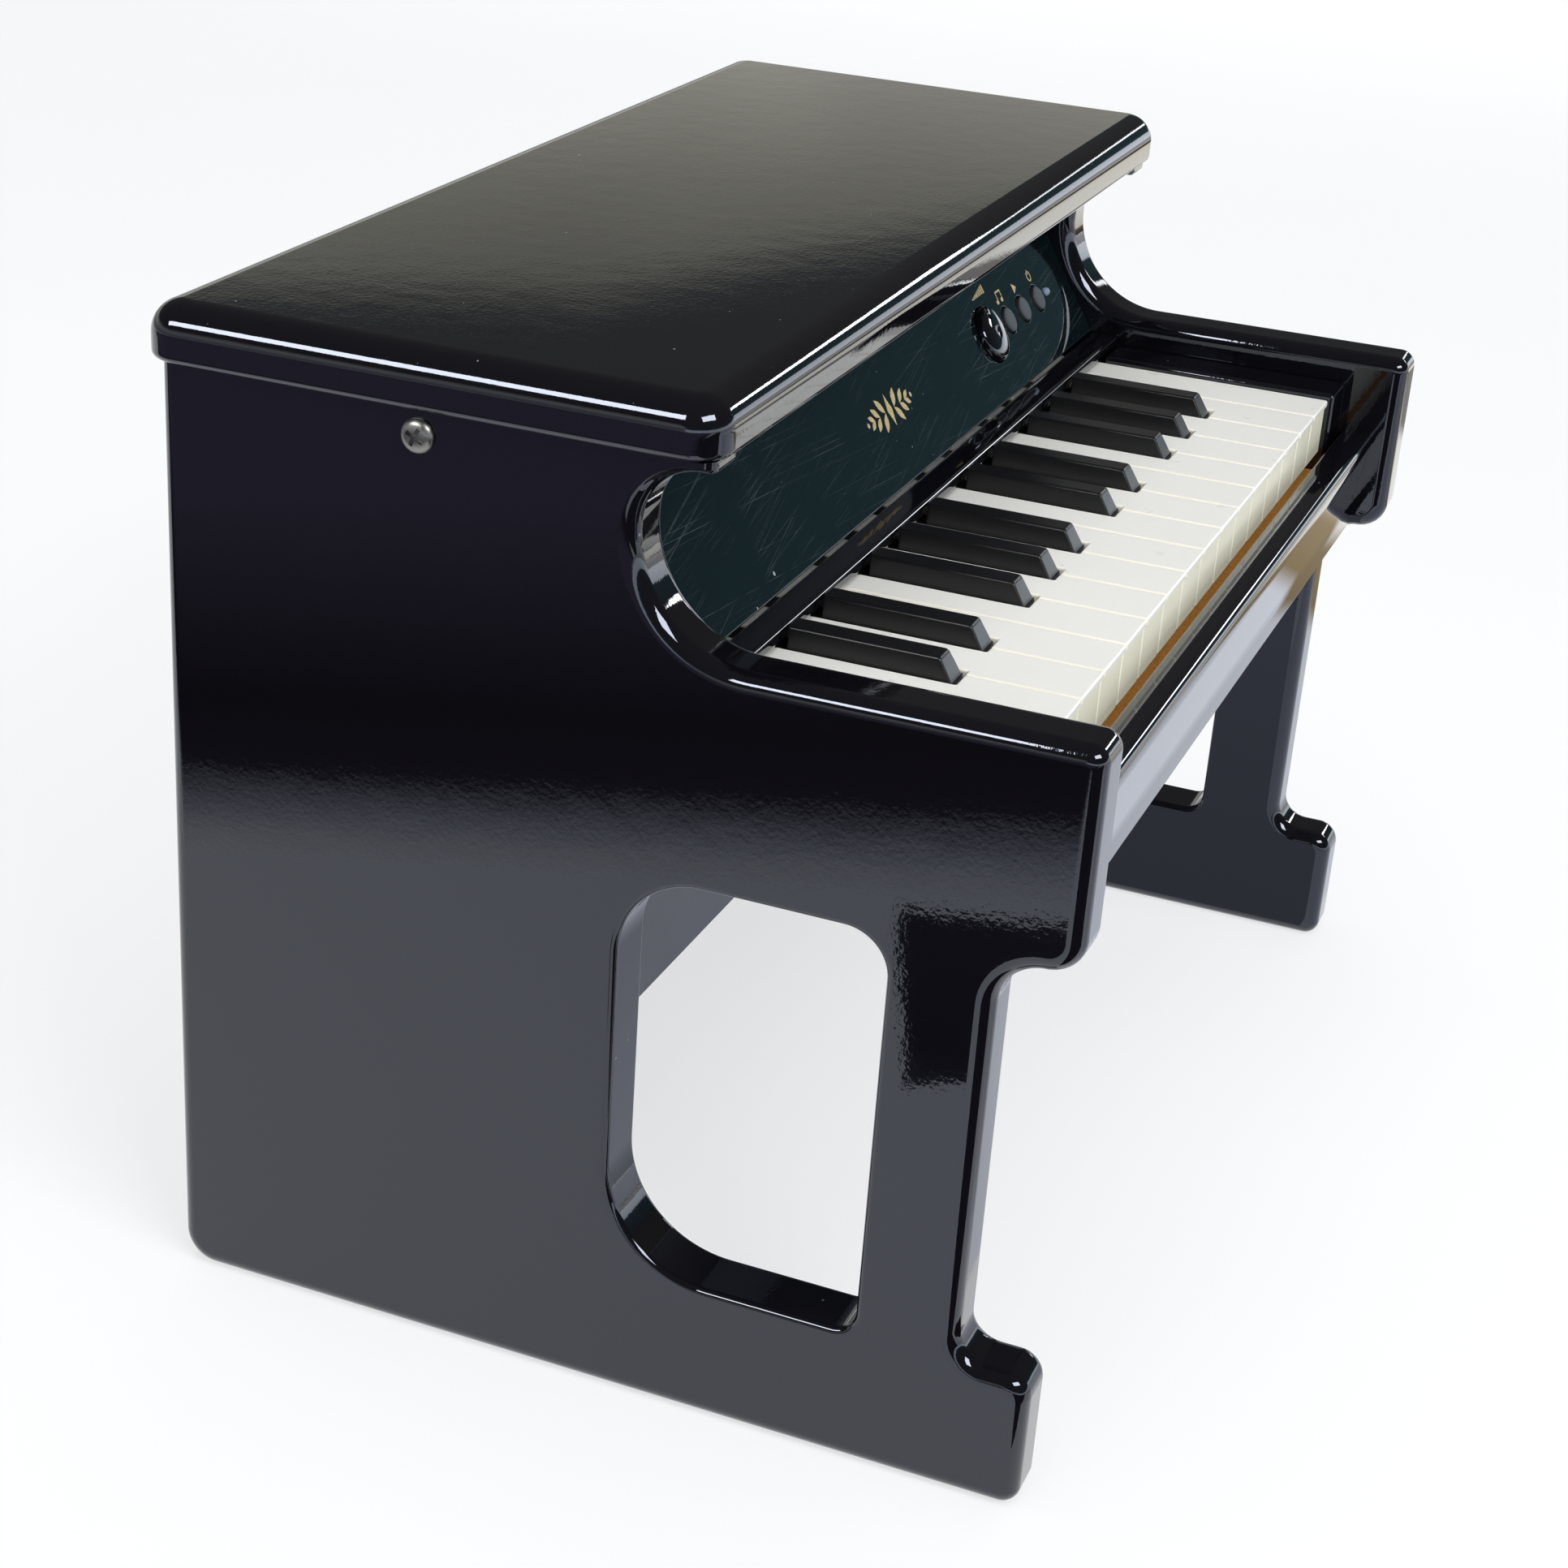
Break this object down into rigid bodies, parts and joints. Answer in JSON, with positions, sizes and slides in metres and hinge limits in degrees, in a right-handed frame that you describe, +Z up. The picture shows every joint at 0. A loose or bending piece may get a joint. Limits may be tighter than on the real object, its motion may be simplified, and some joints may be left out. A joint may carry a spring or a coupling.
{
  "type": "miniature electronic toy piano",
  "caption": "Small upright-style electronic toy piano with sprung mini keys, a tilted control panel under an overhanging lid, and cut-out side panels joined below the key bed.",
  "frame": {"origin": "centre of the object's footprint, on the floor under the side panels", "axes": "+X towards the treble end, along the keyboard; -Y towards the player; +Z up"},
  "size_m": [0.381, 0.253, 0.279],
  "materials": {
    "black_lacquer": "black high-gloss lacquer over fibreboard, slight orange peel",
    "panel_lacquer": "black high-gloss lacquer with fine wiping scratches and dust",
    "inner_board": "black painted board, satin",
    "white_key": "polished off-white moulded plastic",
    "black_key": "satin black moulded plastic",
    "knob_black": "polished black",
    "button_grey": "satin dark grey",
    "led_lens": "clear pale blue-white lens",
    "felt_brown": "pressed felt",
    "dark_plastic": "fine spark-eroded texture",
    "screw_metal": "nickel plated",
    "steel": "drawn rod",
    "board_green": "solder-masked glass-fibre board",
    "board_tan": "paper-phenolic board",
    "rubber_grey": "moulded silicone",
    "speaker_metal": "zinc plated pressing",
    "magnet": "sintered ferrite",
    "cone": "coated paper"
  },
  "bodies": {
    "case": {"back_panel": "inner_board", "battery_box": "dark_plastic", "battery_door": "dark_plastic", "bottom_board": "inner_board", "contact_board": "board_tan", "control_board": "board_green", "dc_jack": "steel", "end_block_left": "black_lacquer", "end_block_right": "black_lacquer", "front_stop_felt": "felt_brown", "headphone_jack": "steel", "key_bed": "inner_board", "key_chassis": "dark_plastic", "key_slip": "black_lacquer", "key_strip": "black_lacquer", "knee_panel": "inner_board", "lid": "black_lacquer", "main_board": "board_green", "name_panel": "panel_lacquer", "pivot_rod": "steel", "power_led": "led_lens", "rubber_contact_strip": "rubber_grey", "side_panel_left": "black_lacquer", "side_panel_right": "black_lacquer", "side_screw_left": "screw_metal", "side_screw_right": "screw_metal", "speaker_cone": "cone", "speaker_frame": "speaker_metal", "speaker_grille": "dark_plastic", "speaker_magnet": "magnet", "volume_pot": "steel"},
    "body_key_01_c": {"key_01_c": "white_key"},
    "body_key_02_cs": {"key_02_cs": "black_key"},
    "body_key_03_d": {"key_03_d": "white_key"},
    "body_key_04_ds": {"key_04_ds": "black_key"},
    "body_key_05_e": {"key_05_e": "white_key"},
    "body_key_06_f": {"key_06_f": "white_key"},
    "body_key_07_fs": {"key_07_fs": "black_key"},
    "body_key_08_g": {"key_08_g": "white_key"},
    "body_key_09_gs": {"key_09_gs": "black_key"},
    "body_key_10_a": {"key_10_a": "white_key"},
    "body_key_11_as": {"key_11_as": "black_key"},
    "body_key_12_b": {"key_12_b": "white_key"},
    "body_key_13_c": {"key_13_c": "white_key"},
    "body_key_14_cs": {"key_14_cs": "black_key"},
    "body_key_15_d": {"key_15_d": "white_key"},
    "body_key_16_ds": {"key_16_ds": "black_key"},
    "body_key_17_e": {"key_17_e": "white_key"},
    "body_key_18_f": {"key_18_f": "white_key"},
    "body_key_19_fs": {"key_19_fs": "black_key"},
    "body_key_20_g": {"key_20_g": "white_key"},
    "body_key_21_gs": {"key_21_gs": "black_key"},
    "body_key_22_a": {"key_22_a": "white_key"},
    "body_key_23_as": {"key_23_as": "black_key"},
    "body_key_24_b": {"key_24_b": "white_key"},
    "body_key_25_c": {"key_25_c": "white_key"},
    "body_volume_knob": {"volume_knob": "knob_black"},
    "body_push_button_1": {"push_button_1": "button_grey"},
    "body_push_button_2": {"push_button_2": "button_grey"},
    "body_push_button_3": {"push_button_3": "button_grey"}
  },
  "joints": [
    {"name": "key_01_c_press", "type": "hinge", "parent": "case", "child": "body_key_01_c", "pos_m": [-0.14252, 0.002, 0.19], "axis": [1, 0, 0], "range_deg": [0, 3.2], "stiffness_Nm_per_rad": 0.36, "springref_deg": -8.02},
    {"name": "key_02_cs_press", "type": "hinge", "parent": "case", "child": "body_key_02_cs", "pos_m": [-0.13444, 0.002, 0.19], "axis": [1, 0, 0], "range_deg": [0, 3.2], "stiffness_Nm_per_rad": 0.36, "springref_deg": -8.02},
    {"name": "key_03_d_press", "type": "hinge", "parent": "case", "child": "body_key_03_d", "pos_m": [-0.12216, 0.002, 0.19], "axis": [1, 0, 0], "range_deg": [0, 3.2], "stiffness_Nm_per_rad": 0.36, "springref_deg": -8.02},
    {"name": "key_04_ds_press", "type": "hinge", "parent": "case", "child": "body_key_04_ds", "pos_m": [-0.10988, 0.002, 0.19], "axis": [1, 0, 0], "range_deg": [0, 3.2], "stiffness_Nm_per_rad": 0.36, "springref_deg": -8.02},
    {"name": "key_05_e_press", "type": "hinge", "parent": "case", "child": "body_key_05_e", "pos_m": [-0.1018, 0.002, 0.19], "axis": [1, 0, 0], "range_deg": [0, 3.2], "stiffness_Nm_per_rad": 0.36, "springref_deg": -8.02},
    {"name": "key_06_f_press", "type": "hinge", "parent": "case", "child": "body_key_06_f", "pos_m": [-0.08144, 0.002, 0.19], "axis": [1, 0, 0], "range_deg": [0, 3.2], "stiffness_Nm_per_rad": 0.36, "springref_deg": -8.02},
    {"name": "key_07_fs_press", "type": "hinge", "parent": "case", "child": "body_key_07_fs", "pos_m": [-0.07446, 0.002, 0.19], "axis": [1, 0, 0], "range_deg": [0, 3.2], "stiffness_Nm_per_rad": 0.36, "springref_deg": -8.02},
    {"name": "key_08_g_press", "type": "hinge", "parent": "case", "child": "body_key_08_g", "pos_m": [-0.06108, 0.002, 0.19], "axis": [1, 0, 0], "range_deg": [0, 3.2], "stiffness_Nm_per_rad": 0.36, "springref_deg": -8.02},
    {"name": "key_09_gs_press", "type": "hinge", "parent": "case", "child": "body_key_09_gs", "pos_m": [-0.0509, 0.002, 0.19], "axis": [1, 0, 0], "range_deg": [0, 3.2], "stiffness_Nm_per_rad": 0.36, "springref_deg": -8.02},
    {"name": "key_10_a_press", "type": "hinge", "parent": "case", "child": "body_key_10_a", "pos_m": [-0.04072, 0.002, 0.19], "axis": [1, 0, 0], "range_deg": [0, 3.2], "stiffness_Nm_per_rad": 0.36, "springref_deg": -8.02},
    {"name": "key_11_as_press", "type": "hinge", "parent": "case", "child": "body_key_11_as", "pos_m": [-0.02714, 0.002, 0.19], "axis": [1, 0, 0], "range_deg": [0, 3.2], "stiffness_Nm_per_rad": 0.36, "springref_deg": -8.02},
    {"name": "key_12_b_press", "type": "hinge", "parent": "case", "child": "body_key_12_b", "pos_m": [-0.02036, 0.002, 0.19], "axis": [1, 0, 0], "range_deg": [0, 3.2], "stiffness_Nm_per_rad": 0.36, "springref_deg": -8.02},
    {"name": "key_13_c_press", "type": "hinge", "parent": "case", "child": "body_key_13_c", "pos_m": [0, 0.002, 0.19], "axis": [1, 0, 0], "range_deg": [0, 3.2], "stiffness_Nm_per_rad": 0.36, "springref_deg": -8.02},
    {"name": "key_14_cs_press", "type": "hinge", "parent": "case", "child": "body_key_14_cs", "pos_m": [0.00808, 0.002, 0.19], "axis": [1, 0, 0], "range_deg": [0, 3.2], "stiffness_Nm_per_rad": 0.36, "springref_deg": -8.02},
    {"name": "key_15_d_press", "type": "hinge", "parent": "case", "child": "body_key_15_d", "pos_m": [0.02036, 0.002, 0.19], "axis": [1, 0, 0], "range_deg": [0, 3.2], "stiffness_Nm_per_rad": 0.36, "springref_deg": -8.02},
    {"name": "key_16_ds_press", "type": "hinge", "parent": "case", "child": "body_key_16_ds", "pos_m": [0.03264, 0.002, 0.19], "axis": [1, 0, 0], "range_deg": [0, 3.2], "stiffness_Nm_per_rad": 0.36, "springref_deg": -8.02},
    {"name": "key_17_e_press", "type": "hinge", "parent": "case", "child": "body_key_17_e", "pos_m": [0.04072, 0.002, 0.19], "axis": [1, 0, 0], "range_deg": [0, 3.2], "stiffness_Nm_per_rad": 0.36, "springref_deg": -8.02},
    {"name": "key_18_f_press", "type": "hinge", "parent": "case", "child": "body_key_18_f", "pos_m": [0.06108, 0.002, 0.19], "axis": [1, 0, 0], "range_deg": [0, 3.2], "stiffness_Nm_per_rad": 0.36, "springref_deg": -8.02},
    {"name": "key_19_fs_press", "type": "hinge", "parent": "case", "child": "body_key_19_fs", "pos_m": [0.06806, 0.002, 0.19], "axis": [1, 0, 0], "range_deg": [0, 3.2], "stiffness_Nm_per_rad": 0.36, "springref_deg": -8.02},
    {"name": "key_20_g_press", "type": "hinge", "parent": "case", "child": "body_key_20_g", "pos_m": [0.08144, 0.002, 0.19], "axis": [1, 0, 0], "range_deg": [0, 3.2], "stiffness_Nm_per_rad": 0.36, "springref_deg": -8.02},
    {"name": "key_21_gs_press", "type": "hinge", "parent": "case", "child": "body_key_21_gs", "pos_m": [0.09162, 0.002, 0.19], "axis": [1, 0, 0], "range_deg": [0, 3.2], "stiffness_Nm_per_rad": 0.36, "springref_deg": -8.02},
    {"name": "key_22_a_press", "type": "hinge", "parent": "case", "child": "body_key_22_a", "pos_m": [0.1018, 0.002, 0.19], "axis": [1, 0, 0], "range_deg": [0, 3.2], "stiffness_Nm_per_rad": 0.36, "springref_deg": -8.02},
    {"name": "key_23_as_press", "type": "hinge", "parent": "case", "child": "body_key_23_as", "pos_m": [0.11538, 0.002, 0.19], "axis": [1, 0, 0], "range_deg": [0, 3.2], "stiffness_Nm_per_rad": 0.36, "springref_deg": -8.02},
    {"name": "key_24_b_press", "type": "hinge", "parent": "case", "child": "body_key_24_b", "pos_m": [0.12216, 0.002, 0.19], "axis": [1, 0, 0], "range_deg": [0, 3.2], "stiffness_Nm_per_rad": 0.36, "springref_deg": -8.02},
    {"name": "key_25_c_press", "type": "hinge", "parent": "case", "child": "body_key_25_c", "pos_m": [0.14252, 0.002, 0.19], "axis": [1, 0, 0], "range_deg": [0, 3.2], "stiffness_Nm_per_rad": 0.36, "springref_deg": -8.02},
    {"name": "volume_turn", "type": "hinge", "parent": "case", "child": "body_volume_knob", "pos_m": [0.086, -0.00819, 0.2247], "axis": [0, -0.848, 0.5299], "range_deg": [-140, 140]},
    {"name": "push_button_1_press", "type": "slide", "parent": "case", "child": "body_push_button_1", "axis": [0, 0.848, -0.5299], "range_m": [0, 0.0009], "stiffness_N_per_m": 1500, "springref_m": -0.0005},
    {"name": "push_button_2_press", "type": "slide", "parent": "case", "child": "body_push_button_2", "axis": [0, 0.848, -0.5299], "range_m": [0, 0.0009], "stiffness_N_per_m": 1500, "springref_m": -0.0005},
    {"name": "push_button_3_press", "type": "slide", "parent": "case", "child": "body_push_button_3", "axis": [0, 0.848, -0.5299], "range_m": [0, 0.0009], "stiffness_N_per_m": 1500, "springref_m": -0.0005}
  ]
}
